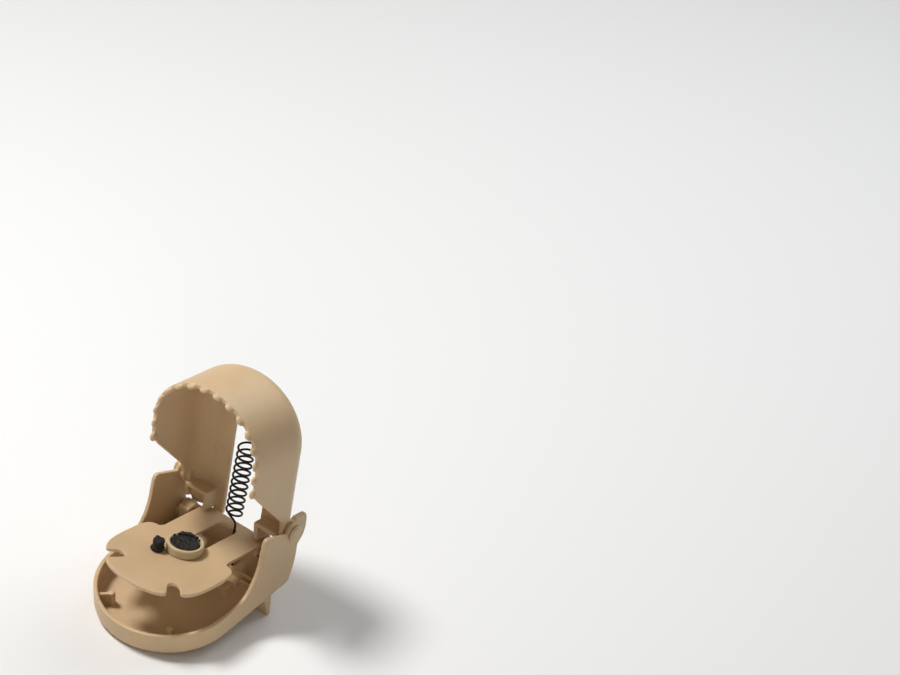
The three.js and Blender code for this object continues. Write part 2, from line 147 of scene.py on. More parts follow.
def rod_z(r, z0, z1, x, y, n=48):
    return prism_z(circle(r, x, y, n), z0, z1)


def spline(points, steps=8):
    """Points of a centripetal Catmull-Rom curve through the given ones (any dimension)."""
    p = [np.array(q, float) for q in points]
    p = [2 * p[0] - p[1]] + p + [2 * p[-1] - p[-2]]
    out = []
    for i in range(1, len(p) - 2):
        t = [0.0]
        for a, b in ((p[i - 1], p[i]), (p[i], p[i + 1]), (p[i + 1], p[i + 2])):
            t.append(t[-1] + max(np.linalg.norm(b - a), 1e-9) ** 0.5)
        for k in range(steps):
            u = t[1] + (t[2] - t[1]) * k / steps
            a1 = (t[1] - u) / (t[1] - t[0]) * p[i - 1] + (u - t[0]) / (t[1] - t[0]) * p[i]
            a2 = (t[2] - u) / (t[2] - t[1]) * p[i] + (u - t[1]) / (t[2] - t[1]) * p[i + 1]
            a3 = (t[3] - u) / (t[3] - t[2]) * p[i + 1] + (u - t[2]) / (t[3] - t[2]) * p[i + 2]
            b1 = (t[2] - u) / (t[2] - t[0]) * a1 + (u - t[0]) / (t[2] - t[0]) * a2
            b2 = (t[3] - u) / (t[3] - t[1]) * a2 + (u - t[1]) / (t[3] - t[1]) * a3
            out.append((t[2] - u) / (t[2] - t[1]) * b1 + (u - t[1]) / (t[2] - t[1]) * b2)
    out.append(p[-2])
    return [tuple(v) for v in out]


def u_outline(w, a0, a1, d, direction, n=96):
    pts = [(w, a0)] + [
        (w * math.cos(math.pi * i / n), a1 + direction * d * math.sin(math.pi * i / n)) for i in range(n + 1)
    ] + [(-w, a0)]
    return pts if direction > 0 else pts[::-1]


def boolean(a, b, operation):
    m = a.modifiers.new("cut", "BOOLEAN")
    m.operation, m.object, m.solver = operation, b, "EXACT"
    dg = bpy.context.evaluated_depsgraph_get()
    dg.update()
    me = bpy.data.meshes.new_from_object(a.evaluated_get(dg))
    old = a.data
    a.modifiers.clear()
    a.data = me
    bpy.data.meshes.remove(old)
    drop(b)
    return a


def drop(o):
    me = o.data
    bpy.data.objects.remove(o)
    if me.users == 0:
        bpy.data.meshes.remove(me)


def joined(a, parts):
    """Puts parts into a as loose overlapping solids; the remesh that follows unites them."""
    bm = bmesh.new()
    bm.from_mesh(a.data)
    for o in parts:
        bm.from_mesh(o.data)
        drop(o)
    bm.to_mesh(a.data)
    bm.free()
    return a


def ellipsoid(centre, axes, radii, seg=28, rings=18):
    """axes: three unit vectors, radii along them."""
    bm = bmesh.new()
    bmesh.ops.create_uvsphere(bm, u_segments=seg, v_segments=rings, radius=1.0)
    a, b, c = [Vector(v) for v in axes]
    ce = Vector(centre)
    for v in bm.verts:
        x, y, z = v.co
        v.co = ce + a * (x * radii[0]) + b * (y * radii[1]) + c * (z * radii[2])
    bmesh.ops.recalc_face_normals(bm, faces=bm.faces)
    me = bpy.data.meshes.new("ball")
    bm.to_mesh(me)
    bm.free()
    o = bpy.data.objects.new("ball", me)
    SCRATCH.objects.link(o)
    return o


def moulded(o, voxel, smooth, keep):
    """Unites overlapping solids and gives every edge the small radius a mould leaves."""
    m = o.modifiers.new("remesh", "REMESH")
    m.mode, m.voxel_size, m.adaptivity, m.use_smooth_shade = "VOXEL", voxel, 0.0, True
    s = o.modifiers.new("smooth", "SMOOTH")
    s.factor, s.iterations = 0.5, smooth
    if keep < 1:
        d = o.modifiers.new("thin", "DECIMATE")
        d.ratio = keep
    dg = bpy.context.evaluated_depsgraph_get()
    dg.update()
    me = bpy.data.meshes.new_from_object(o.evaluated_get(dg))
    old = o.data
    o.modifiers.clear()
    o.data = me
    bpy.data.meshes.remove(old)
    return o


def place(o, name, matrix, body, nodes, material):
    o.data.transform(matrix)
    o.name = name
    o.data.name = name
    for p in o.data.polygons:
        p.use_smooth = True
    o.data.materials.clear()
    o.data.materials.append(material)
    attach(o, body)
    if nodes:
        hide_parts(*nodes)
    return o


# ------------------------------------------------------------------ materials
def new_material(name):
    m = bpy.data.materials.new(name)
    m.use_nodes = True
    nt = m.node_tree
    nt.nodes.clear()
    out = nt.nodes.new("ShaderNodeOutputMaterial")
    bsdf = nt.nodes.new("ShaderNodeBsdfPrincipled")
    nt.links.new(bsdf.outputs["BSDF"], out.inputs["Surface"])
    return m, nt, bsdf


def noise_node(nt, coord, scale, detail=3.0, rough=0.55):
    n = nt.nodes.new("ShaderNodeTexNoise")
    n.inputs["Scale"].default_value = scale
    n.inputs["Detail"].default_value = detail
    n.inputs["Roughness"].default_value = rough
    nt.links.new(coord, n.inputs["Vector"])
    return n.outputs["Fac"]


def ramp(nt, fac, stops):
    r = nt.nodes.new("ShaderNodeValToRGB")
    r.color_ramp.elements[0].position, r.color_ramp.elements[0].color = stops[0][0], (*stops[0][1], 1)
    r.color_ramp.elements[1].position, r.color_ramp.elements[1].color = stops[-1][0], (*stops[-1][1], 1)
    for pos, c in stops[1:-1]:
        e = r.color_ramp.elements.new(pos)
        e.color = (*c, 1)
    nt.links.new(fac, r.inputs["Fac"])
    return r.outputs["Color"]


def mix_color(nt, fac, a, b, mode="MIX"):
    m = nt.nodes.new("ShaderNodeMix")
    m.data_type, m.blend_type = "RGBA", mode
    for key, v in ((0, fac), (6, a), (7, b)):
        if isinstance(v, (int, float)):
            m.inputs[key].default_value = v
        elif isinstance(v, tuple):
            m.inputs[key].default_value = (*v, 1)
        else:
            nt.links.new(v, m.inputs[key])
    return m.outputs[2]


def map_range(nt, value, lo, hi, a=0.0, b=1.0):
    n = nt.nodes.new("ShaderNodeMapRange")
    n.inputs["From Min"].default_value, n.inputs["From Max"].default_value = a, b
    n.inputs["To Min"].default_value, n.inputs["To Max"].default_value = lo, hi
    nt.links.new(value, n.inputs["Value"])
    return n.outputs["Result"]


def bump(nt, bsdf, layers):
    """layers: (height socket, distance in metres, strength)"""
    normal = None
    for height, distance, strength in layers:
        b = nt.nodes.new("ShaderNodeBump")
        b.inputs["Distance"].default_value = distance
        b.inputs["Strength"].default_value = strength
        nt.links.new(height, b.inputs["Height"])
        if normal is not None:
            nt.links.new(normal, b.inputs["Normal"])
        normal = b.outputs["Normal"]
    nt.links.new(normal, bsdf.inputs["Normal"])


def plastic(name, base, rough=0.42, specks_and_crease_shade=0.5):
    """Satin injection-moulded plastic: faint flow clouds, fine spark-eroded grain, dark specks, painted highlight on
    convex edges, painted shade in concave creases.
    """
    m, nt, bsdf = new_material(name)
    tc = nt.nodes.new("ShaderNodeTexCoord").outputs["Object"]
    clouds = noise_node(nt, tc, 55.0, 3.0)
    flow = nt.nodes.new("ShaderNodeMapping")
    flow.inputs["Scale"].default_value = (1.0, 1.0, 0.22)
    nt.links.new(tc, flow.inputs["Vector"])
    streaks = noise_node(nt, flow.outputs["Vector"], 260.0, 4.0)
    fine = noise_node(nt, tc, 2600.0, 2.0)
    grain = noise_node(nt, tc, 5200.0, 2.0, 0.6)
    b = np.array(base)
    col = ramp(nt, clouds, [(0.30, tuple(b * 0.93)), (0.52, tuple(b)), (0.74, tuple(np.minimum(b * 1.06 + 0.004, 1)))])
    col = mix_color(nt, map_range(nt, streaks, 0.0, 0.10, 0.40, 0.75), col, tuple(np.minimum(b * 1.12, 1)))
    specks = map_range(nt, noise_node(nt, tc, 1500.0, 1.0), 0.0, 0.5 * specks_and_crease_shade, 0.70, 0.80)
    col = mix_color(nt, specks, col, tuple(b * 0.72))
    geo = nt.nodes.new("ShaderNodeNewGeometry")
    # painted highlight: convex edges (high pointiness) lightened towards b*1.22, standing in for light catching the
    # rounded edges
    edge = map_range(nt, geo.outputs["Pointiness"], 0.0, 0.30, 0.505, 0.60)
    col = mix_color(nt, edge, col, tuple(np.minimum(b * 1.22 + 0.01, 1)))
    # painted shade: concave creases and corners (low pointiness) darkened towards b*0.70; the same parameter also sets
    # the dark specks above
    hollow = map_range(nt, geo.outputs["Pointiness"], 0.30 * specks_and_crease_shade, 0.0, 0.42, 0.495)
    col = mix_color(nt, hollow, col, tuple(b * 0.70))
    nt.links.new(col, bsdf.inputs["Base Color"])
    nt.links.new(map_range(nt, clouds, rough - 0.05, rough + 0.08, 0.3, 0.7), bsdf.inputs["Roughness"])
    bsdf.inputs["IOR"].default_value = 1.49
    bsdf.inputs["Subsurface Weight"].default_value = 0.18
    bsdf.inputs["Subsurface Radius"].default_value = (1.0, 0.62, 0.34)
    bsdf.inputs["Subsurface Scale"].default_value = 0.0012
    bump(nt, bsdf, [(streaks, 0.00005, 0.10), (fine, 0.00003, 0.22), (grain, 0.00002, 0.22)])
    return m


def wire_material():
    m, nt, bsdf = new_material("dark_wire")
    tc = nt.nodes.new("ShaderNodeTexCoord").outputs["Object"]
    n1 = noise_node(nt, tc, 900.0, 3.0)
    n2 = noise_node(nt, tc, 5000.0, 3.0)
    col = ramp(nt, n1, [(0.35, (0.016, 0.014, 0.013)), (0.60, (0.045, 0.039, 0.034)), (0.78, (0.110, 0.090, 0.070))])
    nt.links.new(col, bsdf.inputs["Base Color"])
    bsdf.inputs["Metallic"].default_value = 0.85
    nt.links.new(map_range(nt, n2, 0.30, 0.52, 0.3, 0.7), bsdf.inputs["Roughness"])
    bump(nt, bsdf, [(n2, 0.00002, 0.3)])
    return m


def bait_material(name, gloss):
    m, nt, bsdf = new_material(name)
    tc = nt.nodes.new("ShaderNodeTexCoord").outputs["Object"]
    n1 = noise_node(nt, tc, 700.0, 4.0, 0.65)
    n2 = noise_node(nt, tc, 2800.0, 4.0, 0.6)
    crumbs = noise_node(nt, tc, 1300.0, 2.0, 0.5)
    col = ramp(nt, n1, [(0.35, (0.0035, 0.003, 0.003)), (0.62, (0.012, 0.009, 0.008)), (0.80, (0.045, 0.026, 0.020))])
    col = mix_color(nt, map_range(nt, crumbs, 0.0, 0.8, 0.69, 0.76), col, (0.10, 0.045, 0.030))
    nt.links.new(col, bsdf.inputs["Base Color"])
    nt.links.new(map_range(nt, n2, gloss, gloss + 0.3, 0.3, 0.7), bsdf.inputs["Roughness"])
    bsdf.inputs["IOR"].default_value = 1.46
    bump(nt, bsdf, [(n1, 0.0006, 0.5), (n2, 0.0002, 0.6)])
    return m


TAN = plastic("tan_plastic", (0.610, 0.438, 0.258), 0.46)
CREAM = plastic("cream_plastic", (0.590, 0.478, 0.290), 0.40)
PIN = plastic("pin_plastic", (0.575, 0.420, 0.258), 0.38)
WIRE = wire_material()
BAIT = bait_material("black_bait", 0.38)
LUMP = bait_material("black_bait_lump", 0.42)


# ------------------------------------------------------------------ base tray
def tray_tub(inset, depth_extra, bottom, edge_r, top, back, seg):
    rings = []
    for i in range(seg + 1):
        t = math.pi / 2 * i / seg
        s = inset + edge_r * (1 - math.sin(t))
        z = bottom + edge_r * (1 - math.cos(t))
        rings.append((s, z))
    rings.append((inset, top))
    out = []
    for s, z in rings:
        pts = u_outline(TRAY_HALF - s, back, TRAY_ROUND_Y, TRAY_ROUND_LEN - s + depth_extra, -1)
        out.append([(x, y, z) for x, y in pts])
    return loft(out)


def build_tray():
    cheek = spline(
        [(-30, RIM_Z), (-27.3, -13.15), (-23.8, -12.1), (-21.25, -9.8), (-18.7, -6.5), (-16.8, -2.4), (-15.8, 1.5), (-15.1, 4.2)],
        6,
    )[1:]
    corner = spline([(-15.1, 4.2), (-14.7, 5.3), (-14.0, 6.1), (-13.2, 6.35), (-12.2, 6.05)], 5)[1:]
    rear = spline([(1.9, -7.4), (1.2, -11.2), (0, -15), (-1.5, -18.6), (-3.0, -21.2)], 6)
    side = (
        [(-70, RIM_Z)] + [(-30, RIM_Z)] + cheek + corner + [(-3.5, 1.4), (0, 1.0), (3.2, 0), (3.2, -3.0)] + rear
        + [(-5.4, -22.0), (-8.2, -22.3), (-8.2, -30), (-70, -30)]
    )
    tray = tray_tub(0, 0, TRAY_BOTTOM, TRAY_EDGE_R, 20, 14, 10)
    tray = boolean(tray, prism_x(side, -30, 30), "INTERSECT")
    for s in (-1, 1):
        a, b = (TRAY_HALF - TRAY_WALL, TRAY_HALF) if s > 0 else (-TRAY_HALF, -TRAY_HALF + TRAY_WALL)
        tray = boolean(tray, rod_x(BOSS_R, a, b, 0, 0, 72), "UNION")
    hollow = tray_tub(TRAY_WALL, 0.1, TRAY_FLOOR, 1.2, 40, 30, 6)
    inner_rear = spline([(-7.4, -20.6), (-4.6, -19.9), (-3.0, -18.0), (-1.6, -14.6), (-1.0, REAR_WALL_TOP)], 5)
    hollow = boolean(
        hollow,
        prism_x([(-70, -40), (-7.4, -40)] + inner_rear + [(30, REAR_WALL_TOP), (30, 50), (-70, 50)], -30, 30),
        "INTERSECT",
    )
    tray = boolean(tray, hollow, "DIFFERENCE")
    parts = []
    k = math.tan(math.radians(STAND_TILT))
    parts.append(
        prism_x([(-14.4, -21.4), (-13.3, HEEL_TIP_Z + 1.2 * k), (-12.1, HEEL_TIP_Z), (-11.2, -21.4)], -TRAY_HALF, TRAY_HALF)
    )
    for s in (-1, 1):
        g = box(-0.65, 0.65, -5.8, 0, TRAY_FLOOR - 0.4, RIB_TOP)
        g.data.transform(Matrix.Translation((s * 12.8, -48.3, 0)) @ Matrix.Rotation(s * math.radians(45), 4, "Z"))
        parts.append(g)
        parts.append(rod_z(1.25, TRAY_FLOOR - 0.4, RIB_TOP + 0.05, s * 12.8, -48.3, 32))
        parts.append(ellipsoid((s * 12.8, -48.3, RIB_TOP), ((1, 0, 0), (0, 1, 0), (0, 0, 1)), (1.25, 1.25, 0.35)))
    parts += [
        box(-TRAY_HALF + 0.6, -6.5, -12.6, -11.4, TRAY_FLOOR - 0.4, -17.4),
        box(6.9, TRAY_HALF - 0.6, -12.6, -11.4, TRAY_FLOOR - 0.4, -17.4),
        box(-3.4, -2.2, -17.6, -14.6, TRAY_FLOOR - 0.4, -9.6),
        box(13.7, TRAY_HALF - 0.6, -15.0, -13.9, TRAY_FLOOR - 0.4, -17.6),
        box(-TRAY_HALF + 0.6, -13.7, -15.0, -13.9, TRAY_FLOOR - 0.4, -17.6),
        box(10.7, 13.2, -21.6, -17.2, TRAY_FLOOR - 0.4, -17.8),
        box(-13.2, -10.7, -21.6, -17.2, TRAY_FLOOR - 0.4, -17.8),
    ]
    for s in (-1, 1):
        x0 = 16.2 if s > 0 else -20.6
        parts.append(
            prism_x(
                [(-6.6, TRAY_FLOOR - 0.4), (-1.6, TRAY_FLOOR - 0.4), (-1.2, -15.0), (-1.2, -10.7), (-1.6, -10.2), (-6.0, -10.2), (-6.6, -10.8)],
                x0,
                x0 + 4.4,
            )
        )
        a, b = (20.3, 24.4) if s > 0 else (-24.4, -20.3)
        parts.append(box(a, b, -4.4, -3.0, TRAY_FLOOR - 0.4, -15.6))
    for x in (-1.0, 3.7):
        parts.append(rod_x(1.9, x, x + 1.3, ANCHOR[0], ANCHOR[1]))
        parts.append(box(x, x + 1.3, ANCHOR[0] - 1.9, ANCHOR[0] + 1.9, TRAY_FLOOR - 0.4, ANCHOR[1]))
    tray = joined(tray, parts)
    # one solid first, so that the bores can be cut through everything
    tray = moulded(tray, 0.24, 0, 1)
    tray = boolean(tray, rod_x(1.8 + GAP, -30, 30, 0, 0), "DIFFERENCE")
    tray = boolean(tray, rod_x(0.8 + GAP, -1.2, 5.2, ANCHOR[0], ANCHOR[1], 32), "DIFFERENCE")
    for a, b in ((15, 19), (-19, -15)):
        tray = boolean(tray, rod_x(1.1 + GAP, a, b, PIVOT_Y, PIVOT_Z, 32), "DIFFERENCE")
    return moulded(tray, 0.24, 5, 0.35)


# ------------------------------------------------------------------ jaw
def plate_q(p):
    return PLATE_Q0 + PLATE_SLOPE * p


def front_q(p):
    return -23.3 - ((p - 22.2) / (JAW_TOP_P - 22.2)) * 2.9


def jaw_tub(inset, back, r, seg, front):
    rings = [(inset, front)]
    for i in range(seg + 1):
        t = math.pi / 2 * i / seg
        rings.append((inset + r * (1 - math.cos(t)), -back - r * (1 - math.sin(t))))
    out = []
    for s, q in rings:
        pts = u_outline(JAW_HALF - s, -40, JAW_ROUND_P, JAW_TOP_P - JAW_ROUND_P - s, 1)
        out.append([(x, q + plate_q(p), p) for x, p in pts])
    return loft(out)


def edge_path():
    mid = JAW_WALL / 2 + TOOTH_IN
    w, d = JAW_HALF - mid, JAW_TOP_P - JAW_ROUND_P - mid
    path = [(w * math.sin(math.pi / 2 * i / 400), JAW_ROUND_P + d * math.cos(math.pi / 2 * i / 400)) for i in range(401)]
    path.append((w, 20))
    return path


def on_edge(path, s):
    run = 0.0
    for (x0, p0), (x1, p1) in zip(path, path[1:]):
        l = math.hypot(x1 - x0, p1 - p0)
        if run + l >= s:
            k = (s - run) / l
            return x0 + (x1 - x0) * k, p0 + (p1 - p0) * k, (x1 - x0) / l, (p1 - p0) / l
        run += l
    return None


def build_jaw():
    keep = [
        (front_q(70), 70), (front_q(23.2), 23.2), (-23.9, 22.4), (-23.2, 21.6), (-19.7, 17.9), (-6.9, 6.6), (-4.4, 4.4),
        (-3.4, 1.5), (-3.3, 0.4), (-1.8, -2.9), (-0.3, -5.0), (1.9, -8.6), (3.0, -10.6), (3.3, TAIL_P), (20, TAIL_P), (20, 70),
    ]
    jaw = boolean(jaw_tub(0, 0, JAW_EDGE_R, 14, -60), prism_x(keep, -30, 30), "INTERSECT")
    jaw = boolean(jaw, jaw_tub(JAW_WALL, PLATE_T, JAW_EDGE_R - JAW_WALL, 14, -70), "DIFFERENCE")
    slot = [(SLOT_HALF, -30)] + [
        (SLOT_HALF * math.cos(math.pi * i / 40), SLOT_TOP_P - SLOT_HALF + SLOT_HALF * math.sin(math.pi * i / 40)) for i in range(41)
    ] + [(-SLOT_HALF, -30)]
    jaw = boolean(jaw, prism_y(slot, -3.5, 20), "DIFFERENCE")
    for x in (-14.6, 12.1):
        jaw = boolean(jaw, box(x, x + 2.5, -3, 20, TAIL_P - 1, -8.3), "DIFFERENCE")
    parts = []
    for s in (-1, 1):
        span = (lambda a, b: (a, b)) if s > 0 else (lambda a, b: (-b, -a))
        parts.append(rod_x(3.4, *span(JAW_HALF - JAW_WALL, JAW_HALF), 0, 0, 60))
        parts.append(prism_x([(-2.9, -3.6), (4.9, -3.6), (4.9, -2.2), (-2.9, -2.2)], *span(10.4, 20.0)))
        parts.append(prism_x([(-2.9, -3.4), (-1.7, -9.2), (-1.4, -9.5), (4.9, -9.5), (4.9, -2.4), (-2.9, -2.4)], *span(10.5, 12.1)))
        ear = [(-1.2, -3.4), (-0.9, -8.6), (2.4, -9.6), (3.6, -11.0)] + spline(
            [(4.6, -11.6), (6.6, -11.4), (8.6, -10.0), (10.6, -7.4), (11.3, -5.7), (11.57, -3.5), (11.34, -1.2), (10.95, 0.7), (10.3, 2.0), (9.6, 2.3)],
            4,
        )
        parts.append(prism_x(ear + [(4.9, 2.2), (4.6, 1.7), (2.9, 1.5), (1.0, 1.3), (-1.2, 0.6)], *span(19.9, 21.7)))
    jaw = joined(jaw, parts)
    top = SLOT_TOP_P + 1.5
    tongue = prism_x(
        [
            (plate_q(top) - PLATE_T, top), (plate_q(27.4) - 2.4, 27.4), (0.7, 26.0), (0.7, 22.9), (1.1, 22.5),
            (plate_q(22.5) + 0.1, 22.5), (4.3, 22.9), (4.3, 26.0), (plate_q(27.4), 27.4), (plate_q(top), top),
        ],
        -TONGUE_HALF,
        TONGUE_HALF,
    )
    tongue = boolean(tongue, box(-0.95, 0.95, -1, 8, 21, 26.6), "DIFFERENCE")
    tongue = boolean(tongue, rod_x(0.65 + GAP, -4, 4, PEG[0], PEG[1], 24), "DIFFERENCE")
    parts = [tongue]
    path = edge_path()
    for i in range(TEETH):
        n = i - (TEETH - 1) / 2
        a = on_edge(path, abs(n) * TOOTH_PITCH)
        if a is None:
            continue
        x, p, tx, tp = a
        s = -1 if n < 0 else 1
        along = Vector((s * tx, 0, tp))
        across = Vector((-tp, 0, s * tx)) if s > 0 else Vector((tp, 0, -tx))
        across = along.cross(Vector((0, 1, 0))).normalized()
        parts.append(
            ellipsoid((s * x, front_q(p) - TOOTH_OUT + 0.15, p), (along, (0, 1, 0), across), (TOOTH_R, 1.4, 0.95))
        )
    jaw = joined(jaw, parts)
    jaw = moulded(jaw, 0.24, 5, 0.35)
    # low round marks that ejector pins leave inside the back plate, and gate stubs on the crown
    marks = []
    for x, p in ((-12.9, 12.6), (12.9, 12.6)):
        disc = lathe(rounded([(0, -0.13), (2.15, -0.13), (2.25, 0.5), (0, 0.5)], 0.07), 48)
        disc.data.transform(Matrix.Translation((x, plate_q(p) - PLATE_T, p)) @ Matrix.Rotation(math.radians(-90), 4, "X"))
        marks.append(disc)
    for x, q, p, a, b in ((0.1, -19.9, 51.86, 0.32, 0.55), (0.15, -17.6, 51.86, 0.42, 0.26), (-2.0, -15.3, 51.76, 0.26, 0.40)):
        marks.append(ellipsoid((x, q, p), ((1, 0, 0), (0, 1, 0), (0, 0, 1)), (a, b, 0.17), 16, 10))
    return joined(jaw, marks)


# ------------------------------------------------------------------ pedal
def build_pedal():
    half = [
        (0, -52.9), (3.6, -52.8), (7.2, -52.1), (10.0, -51.1), (11.8, -50.0), (12.5, -49.2), (12.7, -48.3), (9.9, -44.2),
        (9.9, -43.2), (10.7, -42.3), (12.0, -42.0), (13.4, -42.4), (16.0, -44.7), (17.0, -44.4), (18.2, -42.9), (19.1, -40.6),
        (19.7, -37.0), (19.8, -32.0), (19.7, -27.4), (19.3, -24.2), (18.4, -21.8), (16.6, -20.5), (15.2, -20.3), (14.4, -19.6),
        (14.15, -18.6),
    ]
    curve = spline(half[:7], 4)[:-1] + spline(half[6:], 4)
    curve += [(14.15, 2.7), (13.8, 3.0)]
    outline = curve + [(-x, q) for x, q in reversed(curve[1:])]
    plate = prism_z(outline, PEDAL_TOP_P - PEDAL_T, PEDAL_TOP_P)
    window = [(3.9, -18.2)] + spline([(3.9, -3.4), (3.4, -1.9), (2.2, -0.8)], 5) + [(x, q) for x, q in spline([(-2.2, -0.8), (-3.4, -1.9), (-3.9, -3.4)], 5)] + [(-3.9, -18.2)]
    plate = boolean(plate, prism_z(window, -20, 0), "DIFFERENCE")
    a = math.radians(JAW_LEAN)
    pq = PIVOT_Y * math.cos(a) - PIVOT_Z * math.sin(a)
    pp = PIVOT_Y * math.sin(a) + PIVOT_Z * math.cos(a)
    parts = []
    for s in (-1, 1):
        x0 = 12.5 if s > 0 else -14.1
        ear = boolean(rod_x(2.1, x0, x0 + 1.6, pq, pp, 40), box(x0, x0 + 1.6, pq - 2.1, pq + 2.1, pp, PEDAL_TOP_P - 0.4), "UNION")
        ear = boolean(ear, box(x0 - 0.2, x0 + 1.8, pq - 3, pq + 3, PEDAL_TOP_P - 0.2, PEDAL_TOP_P + 3), "DIFFERENCE")
        ear = boolean(ear, rod_x(1.1 + GAP, x0 - 1, x0 + 3, pq, pp, 32), "DIFFERENCE")
        parts.append(ear)
    plate = joined(plate, parts)
    return moulded(plate, 0.2, 4, 0.4)


# ------------------------------------------------------------------ turned pieces
def lathe(profile, n=64, axis="Z"):
    """Closed profile from the axis to the axis, as (radius, height)."""
    verts, faces = [], []
    rows = []
    for r, z in profile:
        if r < 1e-9:
            rows.append([len(verts)])
            verts.append((0, 0, z))
        else:
            rows.append(list(range(len(verts), len(verts) + n)))
            verts += [(r * math.cos(2 * math.pi * i / n), r * math.sin(2 * math.pi * i / n), z) for i in range(n)]
    for a, b in zip(rows, rows[1:]):
        for i in range(n):
            j = (i + 1) % n
            if len(a) == 1:
                faces.append((a[0], b[j], b[i]))
            elif len(b) == 1:
                faces.append((a[i], a[j], b[0]))
            else:
                faces.append((a[i], a[j], b[j], b[i]))
    if axis == "X":
        verts = [(z, x, y) for x, y, z in verts]
    return make(verts, faces)


def rounded(profile, r, steps=4):
    """Profile with its inner corners rounded by r, the two ends on the axis kept."""
    out = [profile[0]]
    for a, b, c in zip(profile, profile[1:], profile[2:]):
        a, b, c = np.array(a, float), np.array(b, float), np.array(c, float)
        u, v = a - b, c - b
        lu, lv = np.linalg.norm(u), np.linalg.norm(v)
        k = min(r, lu * 0.45, lv * 0.45)
        p0, p1 = b + u / lu * k, b + v / lv * k
        for i in range(steps + 1):
            t = i / steps
            out.append(tuple((1 - t) ** 2 * p0 + 2 * t * (1 - t) * b + t * t * p1))
    out.append(profile[-1])
    return out


def build_cup():
    profile = [(0, 0), (5.9, 0), (6.3, 0.25), (CUP_R, CUP_H - 0.4), (CUP_R - 0.3, CUP_H), (CUP_R - 1.0, CUP_H), (CUP_R - 1.25, CUP_H - 0.3), (CUP_R - 1.3, 0.8), (0, 0.8)]
    return lathe(rounded(profile, 0.28), 96)


def bait_surface(o, height, seed, side):
    """Pushes the vertices of a smooth solid into an uneven, crumbly paste."""
    o.data.update()
    for v in o.data.vertices:
        n = Vector(v.normal)
        p = Vector(v.co)
        k = noise.fractal(p * 0.55 + Vector((seed, 3.1, 7.7)), 0.9, 2.2, 4) * height
        k += (abs(noise.noise(p * 1.6 + Vector((1.3, seed, 2.9)))) - 0.2) * height * 0.6
        v.co = p + n * k * side
    return o


def build_fill():
    profile = [(0, 1.1), (4.6, 1.1), (4.8, 1.4), (4.85, 2.2), (4.4, 2.7), (3.0, 2.3), (1.6, 2.15), (0, 2.1)]
    fine = []
    for a, b in zip(profile, profile[1:]):
        for i in range(6):
            fine.append((a[0] + (b[0] - a[0]) * i / 6, a[1] + (b[1] - a[1]) * i / 6))
    fine.append(profile[-1])
    o = lathe(fine, 96)
    o = moulded(o, 0.16, 3, 1)
    crumbs = []
    for k in range(16):  # crumbs standing out of the paste, most of them near the wall
        t = 2.399963 * k
        r = 4.2 * math.sqrt((k + 2.5) / 18)
        size = 0.40 + 0.55 * abs(noise.noise(Vector((k * 1.7, 4.2, 0.3))))
        turn = Matrix.Rotation(t * 1.3, 3, "Z") @ Matrix.Rotation(t, 3, "X")
        crumbs.append(
            ellipsoid((r * math.cos(t), r * math.sin(t), 2.05 + 0.10 * (r / 4.2)), turn.col, (size * 1.3, size, size * 0.8), 12, 8)
        )
    # smears dragged over the rim of the cup
    for t, r, sx, sy in ((64, 5.1, 0.40, 0.30), (84, 5.15, 0.65, 0.38), (95, 5.3, 0.75, 0.50), (106, 5.2, 0.75, 0.42), (118, 5.35, 0.80, 0.58), (130, 5.2, 0.75, 0.46), (142, 5.3, 0.75, 0.52), (153, 5.15, 0.65, 0.40), (178, 5.1, 0.40, 0.30)):
        a = math.radians(t)
        d = Vector((math.cos(a), math.sin(a), 0))
        crumbs.append(ellipsoid((d.x * r, d.y * r, CUP_H - 0.22), (d, Vector((-d.y, d.x, 0)), (0, 0, 1)), (sy * 1.6, sx, 0.48), 14, 10))
    o = joined(o, crumbs)
    o = moulded(o, 0.13, 2, 1)
    o = bait_surface(o, 0.26, 2.0, 1.0)
    for v in o.data.vertices:  # stays inside the cup's wall, off its floor, and only just above its rim
        r = math.hypot(v.co.x, v.co.y)
        limit = 4.98 if v.co.z < CUP_H - 0.35 else 6.1
        if r > limit:
            v.co.x *= limit / r
            v.co.y *= limit / r
        v.co.z = min(max(v.co.z, 0.95), CUP_H + 0.28)
    return o


def build_lump():
    profile = [(0, 0), (1.85, 0), (2.15, 0.5), (2.1, 1.5), (1.72, 1.95), (2.0, 2.4), (2.05, 3.6), (1.75, 4.25), (0, 4.35)]
    o = lathe(rounded(profile, 0.25), 64)
    o = joined(
        o,
        [
            ellipsoid((-1.0, 0.5, 4.2), ((1, 0, 0), (0, 1, 0), (0, 0, 1)), (0.85, 0.7, 0.62)),
            ellipsoid((1.15, 0.6, 3.9), ((1, 0, 0), (0, 1, 0), (0, 0, 1)), (0.95, 0.7, 0.45)),
            ellipsoid((0.2, -1.3, 3.3), ((1, 0, 0), (0, 1, 0), (0, 0, 1)), (1.0, 0.75, 0.6)),
            ellipsoid((-1.3, -1.0, 1.0), ((1, 0, 0), (0, 1, 0), (0, 0, 1)), (0.8, 0.8, 0.7)),
        ],
    )
    o = moulded(o, 0.13, 2, 1)
    o = bait_surface(o, 0.26, 9.0, 1.0)
    for v in o.data.vertices:
        v.co.z = max(v.co.z, 0.0)
    return o


def hinge_pin():
    x0, x1 = JAW_HALF - JAW_WALL, TRAY_HALF + GAP
    profile = [(0, x0), (1.5, x0), (1.8, x0 + 0.3), (1.8, x1), (2.9, x1), (2.9, x1 + 0.55), (2.55, x1 + 0.9), (1.4, x1 + 1.05), (0, x1 + 1.1)]
    return lathe(rounded(profile, 0.22), 72, "X")


def plain_pin(r, x0, x1, y, z):
    o = lathe(rounded([(0, x0), (r, x0), (r, x1), (0, x1)], 0.25), 48, "X")
    o.data.transform(Matrix.Translation((0, y, z)))
    return o


# ------------------------------------------------------------------ spring
def to_jaw(y, z):
    a = math.radians(JAW_LEAN)
    return y * math.cos(a) - z * math.sin(a), y * math.sin(a) + z * math.cos(a)


